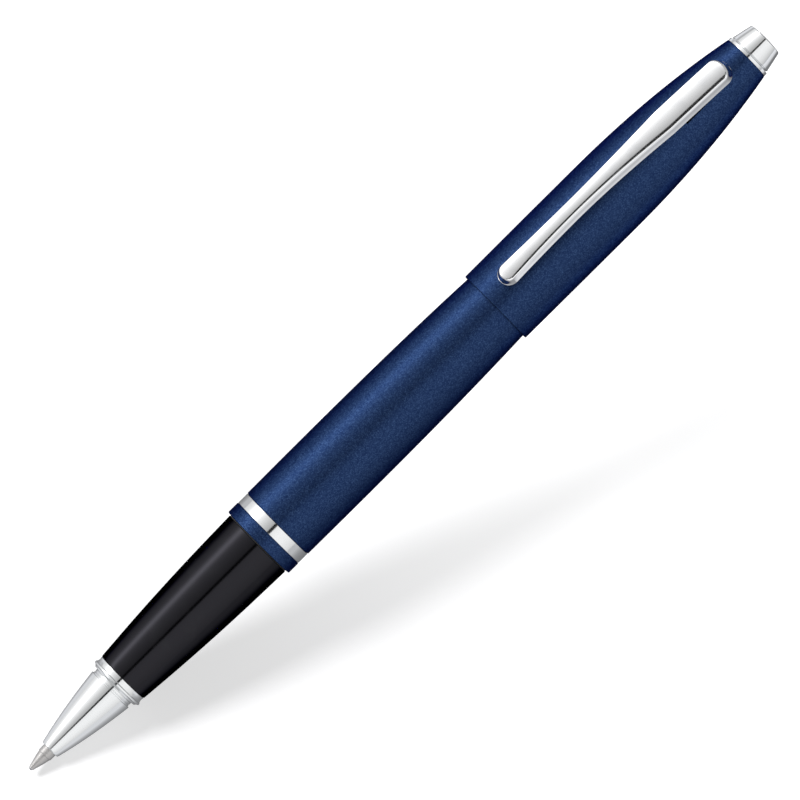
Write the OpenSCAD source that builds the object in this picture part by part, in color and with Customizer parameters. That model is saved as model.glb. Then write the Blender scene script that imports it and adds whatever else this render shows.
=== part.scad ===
// Rollerball pen with its cap posted on the barrel.
// X runs along the pen from the writing point to the finial, Z points out through the clip.

/* [Refill] */
// Radius of the writing ball
ball_r = 0.35; // [0.25:0.05:0.5]
// Radius of the refill point's shank
shank_r = 1.155; // [1.1:0.005:1.2]
// Where the point's taper reaches the full shank
shank_x = 3; // [2.5:0.1:3.5]
// Radius of the ink tube
tube_r = 3; // [2.8:0.05:3.1]
// Where the ink tube begins
tube_x = 27; // [26:0.5:28]
// Length of the whole refill
refill_len = 111; // [110:0.5:112]

/* [Nose and front ring] */
// Front face of the nose cone
nose_x = 4.1; // [3.9:0.1:4.5]
// Radius of the nose cone at its front face
nose_front_r = 1.53; // [1.45:0.01:1.6]
// Rear end of the cone's curved flank
nose_end_x = 16.4; // [16:0.1:16.6]
// Radius of the cone at that end
nose_rear_r = 3.7; // [3.6:0.05:3.8]
// How far the flank bows out from a straight cone
nose_bow = 0.21; // [0:0.01:0.3]
// Front of the flared ring
ring_x = 17.25; // [17.2:0.05:17.4]
// Radius of the flared ring's bead
bead_r = 4.43; // [4.35:0.01:4.5]
// Radius of the ring's hollow neck
neck_r = 4.19; // [4.1:0.01:4.25]

/* [Grip] */
// Front of the grip
grip_x = 18.95; // [18.9:0.05:19.1]
// Rear of the grip
grip_end_x = 46.35; // [46:0.05:46.4]
// Radius at the front of the grip
grip_front_r = 4.3; // [4.2:0.05:4.4]
// Radius at the rear of the grip
grip_rear_r = 5.7; // [5.5:0.05:5.8]
// How far the grip bows out from a straight taper
grip_bow = 0.25; // [0:0.01:0.3]
// Thread pitch of the nipple
pitch = 0.75; // [0.5:0.05:1]

/* [Barrel] */
// Front of the blue mouth ring
mouth_x = 46.55; // [46.5:0.05:46.6]
// Radius of the mouth ring
mouth_r = 6.21; // [6.1:0.01:6.3]
// Front of the bright band
band_x = 48.6; // [48.4:0.05:48.8]
// Radius of the bright band
band_r = 6.16; // [6.1:0.01:6.25]
// Front of the barrel tube
barrel_x = 50.5; // [50.3:0.1:50.8]
// Radius at the front of the barrel tube
barrel_front_r = 6.215; // [6.1:0.005:6.3]
// Where the barrel's taper sets in
taper_x = 70; // [68:1:72]
// Radius where the taper sets in
taper_r = 6.232; // [6.2:0.002:6.25]
// Where the curved taper turns straight, just inside the cap
tail_x = 94.05; // [93.5:0.05:94.5]
// Radius there
tail_r = 5.75; // [5.65:0.01:5.78]
// Rear end of the barrel tube
barrel_end_x = 128; // [127.5:0.1:128]
// Radius of the barrel tube at its rear end
barrel_end_r = 4.47; // [4.4:0.01:4.5]
// Wall of the barrel tube
barrel_wall = 0.45; // [0.4:0.01:0.5]

/* [Cap] */
// Lip of the cap
cap_x = 94.8; // [94.6:0.1:95]
// Rear end of the cap shell
cap_end_x = 145.9; // [145.5:0.1:146]
// Largest radius of the cap
cap_r = 6.253; // [6.2:0.001:6.3]
// Radius at the rear end of the cap shell
cap_end_r = 3.74; // [3.7:0.01:3.8]
// Where the cap begins to round down towards the finial
cap_shoulder_x = 116.5; // [115:0.5:118]
// Power of the rounding
cap_power = 2.18; // [2:0.01:2.4]
// Wall of the cap shell
cap_wall = 0.4; // [0.35:0.01:0.4]

/* [Finial] */
// Radius of the thin ring under the finial
finial_ring_r = 3.7; // [3.6:0.01:3.74]
// Radius of the finial at its foot
finial_foot_r = 3.44; // [3.3:0.01:3.6]
// Radius of the finial at its end
finial_top_r = 2.79; // [2.6:0.01:3]
// End of the pen
pen_end_x = 150; // [149.5:0.1:150.5]
// Radius of the stud
stud_r = 1.5; // [1.3:0.05:1.7]

/* [Clip] */
// Free end of the clip
clip_x = 97.8; // [97.5:0.1:98.5]
// Rear end of the clip
clip_end_x = 143.1; // [142.5:0.1:143.2]
// Height of the clip's underside above the pen's axis
clip_base_z = 8.09; // [7.8:0.01:8.3]
// How far the underside comes down by the rear end
clip_fall = 3.05; // [2.8:0.05:3.1]
// Thickness of the clip along its middle
clip_thick = 1.8; // [1.6:0.05:2]
// Half width at the waist
waist_w = 1.47; // [1.3:0.01:1.6]
// Half width of the broad rear part
broad_w = 2.15; // [2:0.01:2.2]
// Half width of the foot
foot_w = 1.2; // [1:0.05:1.25]

/* [Hidden] */

fine = 72;       // facets of the large turned parts
small = 40;      // facets of the small ones
gap = 0.02;      // gap between parts that only lie against each other
run = 0.045;     // radial clearance of the shank in the nose
waist_x = 113;   // narrowest place of the clip
broad_x = 130.5; // where the clip reaches its full width
fall_x = 110;    // where the clip's underside begins to come down
foot_x = 133.2;  // front of the clip's foot
foot_end_x = 139.8;
foot_z = 3.75;    // how far in the foot reaches
slot_gap = 0.3;  // play of the foot in its slot, each end
spring_x = refill_len + 0.05;
seat_x = 122.5;  // where the spring ends
spring_r = 2.3;
wire_r = 0.22;
coils = 7;
bush_r = 5.7;    // bush in the barrel tube
spigot_r = 5.38; // the bush's front part, under the two rings
nipple_r = 4.72;
crest = 0.16;    // height of the thread ridges

blue = [0.1, 0.2, 0.45];
chrome = [0.85, 0.86, 0.88];
black = [0.03, 0.03, 0.035];
steel = [0.6, 0.6, 0.62];
brass = [0.78, 0.62, 0.3];
pale = [0.85, 0.85, 0.82];

// Points of a line from (x0, r0) to (x1, r1) that bows out by sag in the middle
function bowed(x0, r0, x1, r1, sag, n = 8) =
    [for (i = [0:n]) let (t = i / n) [x0 + (x1 - x0) * t, r0 + (r1 - r0) * t + 4 * sag * t * (1 - t)]];

function barrel_out(x) =
    x < taper_x
    ? let (t = (x - barrel_x) / (taper_x - barrel_x))
        barrel_front_r + (taper_r - barrel_front_r) * t + 0.136 * t * (1 - t)
    : x < tail_x
    ? let (t = (x - taper_x) / (tail_x - taper_x)) taper_r + (tail_r - taper_r) * t + 0.456 * t * (1 - t)
    : tail_r + (barrel_end_r - tail_r) * (x - tail_x) / (barrel_end_x - tail_x);
function barrel_in(x) = min(5.72, barrel_out(x) - barrel_wall);

function cap_out(x) =
    cap_r - (x < 109.5 ? 0.033 * pow((109.5 - x) / 14.7, 2) : 0)
    - (x > cap_shoulder_x
       ? (cap_r - cap_end_r) * pow((x - cap_shoulder_x) / (cap_end_x - cap_shoulder_x), cap_power) : 0);
function cap_in(x) = cap_out(x) - cap_wall;

function clip_base(x) = clip_base_z - (x > fall_x ? clip_fall * pow((x - fall_x) / 31.2, 1.85) : 0);
function clip_top(x) =
    clip_base(x) + clip_thick + (x > fall_x ? 0.2 * (x - fall_x) / 31 : -0.35 * pow((fall_x - x) / 12, 2));
function clip_w(x) =
    x < waist_x ? waist_w + 0.21 * pow((waist_x - x) / 13, 2)
    : waist_w + (broad_w - waist_w) * pow(min(1, (x - waist_x) / (broad_x - waist_x)), 1.7);

// Turns a list of [x, radius] points about the pen's axis
module lathe(points, facets = fine) {
    rotate([0, 90, 0]) rotate_extrude($fn = facets) polygon([for (p = points) [p[1], p[0]]]);
}

// A plain ring from x0 to x1 between two radii
module ring(x0, x1, r_in, r_out, facets = fine) {
    lathe([[x0, r_in], [x1, r_in], [x1, r_out], [x0, r_out]], facets);
}

// A ring whose outer edges are broken by c
module trim_ring(x0, x1, r_in, r_out, c) {
    lathe([[x0, r_in], [x1, r_in], [x1, r_out - c], [x1 - c, r_out], [x0 + c, r_out], [x0, r_out - c]]);
}

module writing_ball() {
    color(steel) translate([ball_r, 0, 0]) sphere(r = ball_r, $fn = 32);
}

module refill_point() {
    color(steel) difference() {
        lathe([[0.28, 0], [0.28, 0.43], [0.5, 0.46], [1.6, 0.74], [1.7, 0.82], [shank_x, shank_r],
               [12, shank_r], [12, 0.6], [2.6, 0.6], [2.4, 0.2], [0.6, 0.2], [0.6, 0]], small);
        translate([ball_r, 0, 0]) sphere(r = ball_r + gap, $fn = 32);
    }
}

module refill_nose() {
    color(pale) lathe([[9.1, shank_r], [9.1, 1.5], [9.4, 1.65], [11.04, 1.65], [11.04, 2.25], [11.2, 2.35],
                       [tube_x, 2.35], [tube_x, 2.64], [31, 2.64], [31, 0.6], [12, 0.6], [12, shank_r]],
                      small);
}

module ink_feed() {
    color(black) ring(2.8, 34, 0, 0.56, 24);
}

module refill_tube() {
    color(pale) lathe([[tube_x + gap, 2.65], [tube_x + gap, tube_r - 0.15], [tube_x + 0.2, tube_r],
                       [110, tube_r], [110, 2.65]], 48);
}

module ink_reservoir() {
    color(black) lathe([[31.1, 0.6], [31.1, 2.6], [107.9, 2.6], [107.9, 0], [34.1, 0], [34.1, 0.6]], 48);
}

module refill_plug() {
    color(black) lathe([[108, 0], [108, 2.6], [110 + gap, 2.6], [110 + gap, tube_r],
                        [refill_len - 0.2, tube_r], [refill_len, tube_r - 0.2], [refill_len, 0]], 48);
}

module nose_cone() {
    color(chrome) lathe(concat(
        [[nose_x, shank_r + run], [nose_x, nose_front_r - 0.12]],
        bowed(nose_x + 0.12, nose_front_r, nose_end_x, nose_rear_r, nose_bow, 10),
        [[nose_end_x + 0.1, 3.46], [17.15, 3.46], [17.25, 3.3], [25, 3.3], [25, 2.45], [11, 2.45],
         [11, 1.75], [9.5, 1.75], [7, shank_r + run]]));
}

module front_ring() {
    color(chrome) lathe([[ring_x, 3.32], [ring_x, 4.05], [ring_x + 0.2, bead_r - 0.1],
                         [ring_x + 0.45, bead_r], [ring_x + 0.65, bead_r], [ring_x + 0.9, bead_r - 0.14],
                         [ring_x + 1.15, neck_r], [ring_x + 1.45, neck_r], [grip_x - gap, neck_r + 0.05],
                         [grip_x - gap, 3.32]]);
}

module grip_sleeve() {
    color(black) lathe(concat(
        [[grip_x, 3.72], [grip_x, grip_front_r - 0.08]],
        bowed(grip_x + 0.08, grip_front_r, grip_end_x - 0.15, grip_rear_r, grip_bow, 12),
        [[grip_end_x, grip_rear_r - 0.15], [grip_end_x, 4.32], [30, 4.32], [30, 3.72]]));
}

module section_core() {
    color(black) union() {
        lathe([[grip_x, 3.32], [grip_x, 3.7], [30.02, 3.7], [30.02, 4.3], [grip_end_x, 4.3],
               [grip_end_x, nipple_r], [59, nipple_r], [59.4, 4.4], [59.4, 3.12], [25.1, 3.12], [25.1, 3.32]]);
        for (x = [51.5:pitch:58]) ring(x, x + 0.3, 4.5, nipple_r + crest);
    }
}

module joint_seal() {
    color(black) ring(grip_end_x + gap, mouth_x - gap, nipple_r + 0.04, 5.6);
}

module mouth_ring() {
    color(blue) trim_ring(mouth_x, band_x - 0.05, spigot_r + gap, mouth_r, 0.1);
}

module barrel_band() {
    color(chrome) trim_ring(band_x, barrel_x - 0.05, spigot_r + gap, band_r, 0.06);
}

module thread_bush() {
    color(brass) union() {
        lathe([[mouth_x + 0.1, 5.12], [mouth_x + 0.1, spigot_r], [barrel_x, spigot_r], [barrel_x, bush_r],
               [62, bush_r], [62, 5.12]]);
        for (x = [51.9:pitch:60]) ring(x, x + 0.3, nipple_r + crest + 0.07, 5.3);
    }
}

module barrel_shell() {
    inside = [126.9, 122, 116, 108, 100, tail_x, 88, 82];
    color(blue) lathe(concat(
        [[barrel_x, 5.72], [barrel_x, barrel_front_r - 0.08]],
        [for (x = [50.6, 55, 60, 65, taper_x]) [x, barrel_out(x)]],
        [for (i = [1:7]) let (x = taper_x + (tail_x - taper_x) * i / 7) [x, barrel_out(x)]],
        [[barrel_end_x - 0.7, barrel_out(barrel_end_x - 0.7)], [barrel_end_x - 0.2, barrel_end_r - 0.15],
         [barrel_end_x, barrel_end_r - 0.4], [barrel_end_x, 3.3], [127.2, 3.3]],
        [for (x = inside) [x, barrel_in(x)]], [[80, 5.72]]));
}

module barrel_end_plug() {
    color(black) lathe([[119.5, 0], [119.5, 1.6], [119.8, 1.85], [seat_x, 1.85], [seat_x, 4.15],
                        [126.8, 3.98], [126.8, 3.28], [barrel_end_x + 0.02, 3.28],
                        [barrel_end_x + 0.02, 2.9], [129, 2.9], [129, 3.6], [129.2, 3.6],
                        [129.3, 3.5], [129.3, 0]], 48);
}

module posting_ring() {
    color(black) lathe([[128.06, 2.94], [128.06, 3.9], [128.3, 4.12], [128.7, 4.12], [128.94, 3.9],
                        [128.94, 2.94]], 48);
}

// One coil spring; its cross-section is drawn on the turn so that the wire comes out round
module refill_spring() {
    lead = (seat_x - spring_x - 2 * wire_r) / coils;
    half = 360 * wire_r / lead;
    color(steel) translate([spring_x + wire_r, 0, 0]) rotate([0, 90, 0])
        linear_extrude(height = lead * coils, twist = -360 * coils, slices = 16 * coils)
            polygon([for (u = [0:45:315]) let (r = spring_r + wire_r * cos(u), a = half * sin(u))
                     [r * cos(a), r * sin(a)]]);
}

module cap_shell() {
    stations = [99.5, 109.5, cap_shoulder_x, 120, 123, 126, 129, 132, 135, 138, 141, 143.5];
    color(blue) difference() {
        lathe(concat(
            [[cap_x, cap_in(cap_x) + 0.06], [cap_x, cap_out(cap_x) - 0.12], [cap_x + 0.12, cap_out(cap_x)]],
            [for (x = stations) [x, cap_out(x)]],
            [[cap_end_x, cap_end_r], [cap_end_x, stud_r], [144.7, stud_r], [144.7, cap_in(144.7)]],
            [for (i = [11:-1:0]) [stations[i], cap_in(stations[i])]]));
        translate([foot_x - slot_gap, -foot_w - 0.15, 2])
            cube([foot_end_x - foot_x + 2 * slot_gap, 2 * foot_w + 0.3, 8]);
    }
}

module cap_liner() {
    outer = [109.5, cap_shoulder_x, 120, 123, 126, 129];
    color(black) lathe(concat(
        [[103, 5.53], [103, 5.7], [103.4, cap_in(103.4) - gap]],
        [for (x = outer) [x, cap_in(x) - gap]],
        [[129.2, 5.3], [129.2, 4.17], [128.5, 4.17], [127.6, 4.55], [124, 4.72]]));
}

module inner_cap() {
    color(black) lathe([[129.2 + gap, 4], [129.2 + gap, 4.8], [130.3, 3.7], [131, 3.45], [142.3, 3.45],
                        [142.3, 0], [141.5, 0], [141.5, 3.1], [130.2, 3.1]]);
}

module clip() {
    head = clip_w(clip_x + 1.66);
    tops = [99.6, 102, 105, fall_x, 114, 118, 122, 126, 130, 134, 138, 141.3];
    lows = [138, 134, 130, 126, 122, 118, 114, fall_x, 105];
    widths = [103, 107, waist_x, 117, 120, 123, 126, 129, broad_x];
    outline = concat(
        [for (a = [90:-15:0]) [clip_x + head * (1 - sin(a)), head * cos(a)]],
        [for (x = widths) [x, clip_w(x)]],
        [for (a = [0:15:90]) [clip_end_x - 1.8 + 1.8 * sin(a), broad_w * cos(a)]]);
    color(chrome) union() {
        intersection() {
            rotate([90, 0, 0]) translate([0, 0, -3]) linear_extrude(height = 6) polygon(concat(
                [[clip_x, 8.2], [clip_x + 0.15, 8.9], [clip_x + 0.7, 9.3]],
                [for (x = tops) [x, clip_top(x)]],
                [[142.4, 6.7], [clip_end_x, 5.9], [clip_end_x, 5.1], [142.5, 4.8]],
                [for (x = lows) [x, clip_base(x)]],
                [[103.6, 7.6], [102.6, 6.6], [101.8, 6.3], [100.6, 6.3], [99.8, 6.6], [98.8, 7.6]]));
            linear_extrude(height = 12) polygon(concat(
                outline, [for (i = [len(outline) - 1:-1:0]) [outline[i][0], -outline[i][1]]]));
        }
        translate([foot_x, -foot_w, foot_z])
            cube([foot_end_x - foot_x, 2 * foot_w, clip_base(foot_x) + 0.3 - foot_z]);
    }
}

module finial_ring() {
    color(chrome) trim_ring(cap_end_x + gap, cap_end_x + 0.6, stud_r + gap, finial_ring_r, 0.12);
}

module finial() {
    foot = cap_end_x + 0.62;
    color(chrome) lathe([[142.4, 0], [142.4, stud_r - 0.1], [142.5, stud_r - gap], [foot, stud_r - gap],
                         [foot, 3.1], [foot + 0.1, finial_foot_r - 0.04], [foot + 0.2, finial_foot_r],
                         [pen_end_x - 0.4, finial_top_r], [pen_end_x - 0.15, finial_top_r - 0.25],
                         [pen_end_x - 0.04, finial_top_r - 0.8], [pen_end_x, 1.2], [pen_end_x, 0]]);
}

module finial_nut() {
    color(brass) ring(142.9, 144.6, stud_r, 3.3, 48);
}

writing_ball();
refill_point();
refill_nose();
ink_feed();
refill_tube();
ink_reservoir();
refill_plug();
nose_cone();
front_ring();
grip_sleeve();
section_core();
joint_seal();
mouth_ring();
barrel_band();
thread_bush();
barrel_shell();
barrel_end_plug();
posting_ring();
refill_spring();
cap_shell();
cap_liner();
inner_cap();
clip();
finial_ring();
finial();
finial_nut();
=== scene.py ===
"""Looks of a rollerball pen with its cap posted on the barrel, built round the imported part.

The pen lies along +X from its writing point to the finial, and its clip stands out along +Z.
Outlines are written in millimetres and drawn in metres.
"""

from __future__ import annotations

import logging
import math
from collections.abc import Callable, Sequence
from dataclasses import dataclass
from enum import Enum
from typing import NamedTuple

import bmesh
import bpy
from mathutils import Matrix, Vector


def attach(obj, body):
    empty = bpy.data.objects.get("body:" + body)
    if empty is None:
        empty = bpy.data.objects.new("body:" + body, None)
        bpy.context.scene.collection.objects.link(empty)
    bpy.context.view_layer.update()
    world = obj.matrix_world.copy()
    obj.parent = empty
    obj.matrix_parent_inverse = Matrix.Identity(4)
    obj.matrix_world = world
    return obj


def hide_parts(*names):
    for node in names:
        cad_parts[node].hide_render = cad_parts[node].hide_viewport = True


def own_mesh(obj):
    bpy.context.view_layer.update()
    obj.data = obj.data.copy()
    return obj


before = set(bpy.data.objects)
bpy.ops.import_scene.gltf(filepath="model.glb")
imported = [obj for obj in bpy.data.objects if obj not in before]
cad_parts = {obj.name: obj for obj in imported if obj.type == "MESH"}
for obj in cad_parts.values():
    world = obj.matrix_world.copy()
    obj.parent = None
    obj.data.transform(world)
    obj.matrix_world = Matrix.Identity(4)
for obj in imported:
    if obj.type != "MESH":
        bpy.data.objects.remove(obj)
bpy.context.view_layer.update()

LOG = logging.getLogger("rollerball")
MM = 0.001
TURN_STEPS = 144
AXIS = (1.0, 0.0, 0.0)
MERGE = 1e-6
FILLET_SHARE = 0.45  # most that a fillet takes of the edge beside it
LEAD_SHARE = 0.48  # the same for the point that holds the shading crisp
LEAD = 1.5  # that point's distance from the corner, in fillet lengths
SMOOTH_DEG = 33.0
FAR_MM = 1500.0  # how far the floor goes

Point = tuple[float, float]
Outline = Sequence[Sequence[float]]
Colour = tuple[float, float, float]
WHITE: Colour = (1.0, 1.0, 1.0)
Socket = bpy.types.NodeSocket
Material = bpy.types.Material
Piece = bpy.types.Object


# ------------ shaders


class Num:
    """A number socket that takes part in Python arithmetic."""

    def __init__(self, tree: Tree, socket: Socket) -> None:
        """Wraps a socket.

        Args:
            tree: the node tree that the socket is in.
            socket: an output that carries a number.
        """
        self.tree = tree
        self.socket = socket

    def math(self, operation: str, *others: Num | float, first: bool = True) -> Num:
        """Adds one Math node.

        Args:
            operation: the Math node's operation.
            others: the other operands.
            first: whether this number is the first operand, not the second.

        Returns:
            The node's result.
        """
        operands = [self, *others] if first else [*others, self]
        node = self.tree.node("ShaderNodeMath", {"operation": operation}, dict(enumerate(operands)))
        return Num(self.tree, node.outputs[0])

    def __add__(self, other: Num | float) -> Num:
        """Sum."""
        return self.math("ADD", other)

    def __sub__(self, other: Num | float) -> Num:
        """Difference."""
        return self.math("SUBTRACT", other)

    def __mul__(self, other: Num | float) -> Num:
        """Product."""
        return self.math("MULTIPLY", other)

    def __truediv__(self, other: Num | float) -> Num:
        """Quotient."""
        return self.math("DIVIDE", other)

    def __pow__(self, other: Num | float) -> Num:
        """Power."""
        return self.math("POWER", other)

    def __rsub__(self, other: float) -> Num:
        """Difference from a plain number."""
        return self.math("SUBTRACT", other, first=False)

    __radd__ = __add__
    __rmul__ = __mul__

    def between(self, low: float, high: float) -> Num:
        """Maps a range to 0..1, smoothly, and holds it there outside.

        Args:
            low: the number that becomes 0.
            high: the number that becomes 1.

        Returns:
            The mapped number.
        """
        node = self.tree.node(
            "ShaderNodeMapRange",
            {"interpolation_type": "SMOOTHSTEP"},
            {"Value": self, "From Min": low, "From Max": high},
        )
        return Num(self.tree, node.outputs[0])


class Tree:
    """The node tree of a material or a world, filled by one method."""

    def __init__(self, name: str, world: bool = False) -> None:
        """Starts an empty material or world.

        Args:
            name: its name.
            world: whether it is a world.
        """
        self.owner = (bpy.data.worlds if world else bpy.data.materials).new(name)
        self.owner.use_nodes = True
        self.tree = self.owner.node_tree
        self.tree.nodes.clear()

    def node(
        self, kind: str, settings: dict[str, object] | None = None, inputs: dict[object, object] | None = None
    ) -> bpy.types.Node:
        """Adds a node.

        Args:
            kind: the node's type.
            settings: properties set first; "stops" fills a colour ramp.
            inputs: values or links by socket name or number.

        Returns:
            The new node.
        """
        node = self.tree.nodes.new(kind)
        for key, value in (settings or {}).items():
            if key == "stops":
                self.fill_ramp(node, value)
            else:
                setattr(node, key, value)
        for key, value in (inputs or {}).items():
            socket = node.inputs[key]
            if isinstance(value, Num):
                value = value.socket
            if isinstance(value, Socket):
                self.tree.links.new(value, socket)
            elif value is not None:
                socket.default_value = value
        return node

    @staticmethod
    def fill_ramp(node: bpy.types.Node, stops: Sequence[tuple[float, float]]) -> None:
        """Sets a grey ramp's stops.

        Args:
            node: a colour ramp.
            stops: (place, grey) pairs.
        """
        elements = node.color_ramp.elements
        elements[0].position, elements[-1].position = stops[0][0], stops[-1][0]
        for place, _ in stops[1:-1]:
            elements.new(place)
        for element, (_, grey) in zip(elements, stops):
            element.color = (grey, grey, grey, 1.0)

    def place(self) -> Socket:
        """The point on the piece, in metres."""
        return self.node("ShaderNodeTexCoord").outputs["Object"]

    def axes(self) -> tuple[Num, Num, Num]:
        """The point's three coordinates, in metres."""
        split = self.node("ShaderNodeSeparateXYZ", inputs={0: self.place()})
        return tuple(Num(self, split.outputs[i]) for i in range(3))

    def noise(self, size_mm: float, detail: float = 2.0, stretch: Sequence[float] = (1.0, 1.0, 1.0)) -> Num:
        """Noise whose features are about that size.

        Args:
            size_mm: size of a feature.
            detail: octaves.
            stretch: scale of the place along each axis.

        Returns:
            The noise, about 0.5 on average.
        """
        mapped = self.node("ShaderNodeMapping", inputs={"Vector": self.place(), "Scale": stretch})
        node = self.node(
            "ShaderNodeTexNoise",
            inputs={"Vector": mapped.outputs[0], "Scale": 1.0 / (size_mm * MM), "Detail": detail},
        )
        return Num(self, node.outputs[0])

    def flakes(self, size_mm: float) -> Num:
        """A random number for each flake.

        Args:
            size_mm: size of a flake.

        Returns:
            The number, from 0 to 1.
        """
        node = self.node(
            "ShaderNodeTexVoronoi", {"feature": "F1"}, {"Vector": self.place(), "Scale": 1.0 / (size_mm * MM)}
        )
        return Num(self, self.node("ShaderNodeSeparateColor", inputs={0: node.outputs["Color"]}).outputs[0])

    def mix(self, share: Num, low: Colour, high: Colour) -> Socket:
        """A colour between two.

        Args:
            share: how far the colour lies from the low to the high one.
            low: first colour.
            high: second colour.

        Returns:
            The mixed colour's socket.
        """
        node = self.node(
            "ShaderNodeMix", {"data_type": "RGBA"}, {"Factor": share, 6: (*low, 1.0), 7: (*high, 1.0)}
        )
        return node.outputs[2]

    def bump(self, height: Num, depth_mm: float) -> Socket:
        """A normal from a height map of that depth."""
        return self.node("ShaderNodeBump", inputs={"Height": height, "Distance": depth_mm * MM}).outputs[0]

    def glow(self, colour: Colour, strength: Num | float, kind: str = "Emission") -> Socket:
        """Adds a shader that gives light.

        Args:
            colour: its colour.
            strength: its strength.
            kind: "Emission", or "Background" in a world.

        Returns:
            The shader's socket.
        """
        return self.node("ShaderNode" + kind, inputs={0: (*colour, 1.0), 1: strength}).outputs[0]

    def by_ray(self, ray: str, usual: Socket, other: Socket) -> Socket:
        """Shows one kind of ray another shader.

        Args:
            ray: the Light Path output that tells the kind.
            usual: shader for every other ray.
            other: shader for that kind.

        Returns:
            The mixed shader's socket.
        """
        path = self.node("ShaderNodeLightPath")
        return self.node("ShaderNodeMixShader", inputs={0: path.outputs[ray], 1: usual, 2: other}).outputs[0]

    def output(self, shader: Socket, kind: str = "Material") -> Material | bpy.types.World:
        """Links the last shader to the tree's output.

        Args:
            shader: the shader's socket.
            kind: "Material" or "World".

        Returns:
            The finished material or world.
        """
        self.node("ShaderNodeOutput" + kind, inputs={"Surface": shader})
        return self.owner

    def finish(self, **sockets: object) -> Material:
        """Adds the surface shader.

        Args:
            sockets: its inputs, with underscores for spaces.

        Returns:
            The finished material.
        """
        inputs = {key.replace("_", " "): value for key, value in sockets.items()}
        return self.output(self.node("ShaderNodeBsdfPrincipled", inputs=inputs).outputs[0])


@dataclass(frozen=True)
class FlakeLacquer:
    """Satin lacquer with fine metal flake, darker and more violet at the edges."""

    name: str = "blue_flake_lacquer"
    deep: Colour = (0.0075, 0.0205, 0.075)
    bright: Colour = (0.043, 0.085, 0.2)
    edge: Colour = (0.2, 0.08, 0.28)
    flake_mm: float = 0.11
    cloud_mm: float = 0.42
    roughness: float = 0.38

    def make(self) -> Material:
        """Builds the material.

        Returns:
            The new material.
        """
        t = Tree(self.name)
        flakes = t.flakes(self.flake_mm)
        cloud = t.noise(self.cloud_mm, 3.0)
        share = (flakes ** 2.2) * 0.8 + cloud * 0.44 - 0.09
        grain = t.noise(0.09, 1.0)
        return t.finish(
            Base_Color=t.mix(share, self.deep, self.bright),
            Metallic=1.0,
            Specular_Tint=(*self.edge, 1.0),
            Roughness=self.roughness + (cloud - 0.5) * 0.16,
            Normal=t.bump(grain * 0.5 + flakes * 0.5, 0.006),
        )


@dataclass(frozen=True)
class BrightChrome:
    """Polished chrome plate with faint handling marks."""

    name: str = "bright_chrome"
    colour: Colour = (0.9, 0.905, 0.92)
    roughness: float = 0.035

    def make(self) -> Material:
        """Builds the material.

        Returns:
            The new material.
        """
        t = Tree(self.name)
        haze = t.noise(2.6, 4.0).between(0.45, 0.75)
        hairs = t.noise(0.35, 3.0, (0.12, 1.0, 1.0)).between(0.62, 0.8)
        shade = haze * 0.5 + hairs * 0.3
        return t.finish(
            Base_Color=t.mix(shade, self.colour, (0.84, 0.85, 0.875)),
            Metallic=1.0,
            Roughness=self.roughness + haze * 0.03 + hairs * 0.02,
            Normal=t.bump(t.noise(2.0, 0.0), 0.0005),
        )


@dataclass(frozen=True)
class GlossGrip:
    """Glossy black lacquer with soft wear where fingers hold it."""

    name: str = "gloss_black_grip"
    colour: Colour = (0.026, 0.0255, 0.03)
    worn: Colour = (0.03, 0.03, 0.034)
    edge: Colour = (0.05, 0.05, 0.06)
    roughness: float = 0.14

    def make(self) -> Material:
        """Builds the material.

        Returns:
            The new material.
        """
        t = Tree(self.name)
        wear = t.noise(3.2, 4.0).between(0.5, 0.8)
        fine = t.noise(0.25, 2.0)
        return t.finish(
            Base_Color=t.mix(wear, self.colour, self.worn),
            Metallic=1.0,
            Specular_Tint=(*self.edge, 1.0),
            Roughness=self.roughness + wear * 0.06 + (fine - 0.5) * 0.03,
            Normal=t.bump(fine, 0.0008),
        )


@dataclass(frozen=True)
class Moulded:
    """Satin moulded plastic or rubber with a fine spark-eroded grain."""

    name: str
    colour: Colour
    roughness: float = 0.5
    grain_mm: float = 0.12
    depth_mm: float = 0.004

    def make(self) -> Material:
        """Builds the material.

        Returns:
            The new material.
        """
        t = Tree(self.name)
        cloud = t.noise(1.8, 3.0)
        grain = t.noise(self.grain_mm, 2.0)
        lighter = tuple(c * 1.35 + 0.004 for c in self.colour)
        return t.finish(
            Base_Color=t.mix(cloud, self.colour, lighter),
            Roughness=self.roughness + (grain - 0.5) * 0.15,
            Normal=t.bump(grain, self.depth_mm),
        )


@dataclass(frozen=True)
class TurnedMetal:
    """Bare metal with the fine rings a lathe leaves."""

    name: str
    colour: Colour
    roughness: float = 0.26
    ring_mm: float = 0.05
    depth_mm: float = 0.0015

    def make(self) -> Material:
        """Builds the material.

        Returns:
            The new material.
        """
        t = Tree(self.name)
        rings = t.noise(self.ring_mm, 2.0, (1.0, 0.02, 0.02))
        stain = t.noise(0.9, 3.0)
        darker = tuple(c * 0.78 for c in self.colour)
        return t.finish(
            Base_Color=t.mix(stain * 0.6 + rings * 0.4, darker, self.colour),
            Metallic=1.0,
            Roughness=self.roughness + (rings - 0.5) * 0.1,
            Normal=t.bump(rings, self.depth_mm),
        )


@dataclass(frozen=True)
class SoakedFibre:
    """Bundled fibre full of dark ink."""

    name: str = "ink_fibre"
    colour: Colour = (0.006, 0.008, 0.02)

    def make(self) -> Material:
        """Builds the material.

        Returns:
            The new material.
        """
        t = Tree(self.name)
        strands = t.noise(0.12, 3.0, (0.05, 1.0, 1.0))
        return t.finish(
            Base_Color=t.mix(strands, self.colour, (0.02, 0.025, 0.05)),
            Roughness=0.5 + strands * 0.2,
            Normal=t.bump(strands, 0.01),
        )


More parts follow.
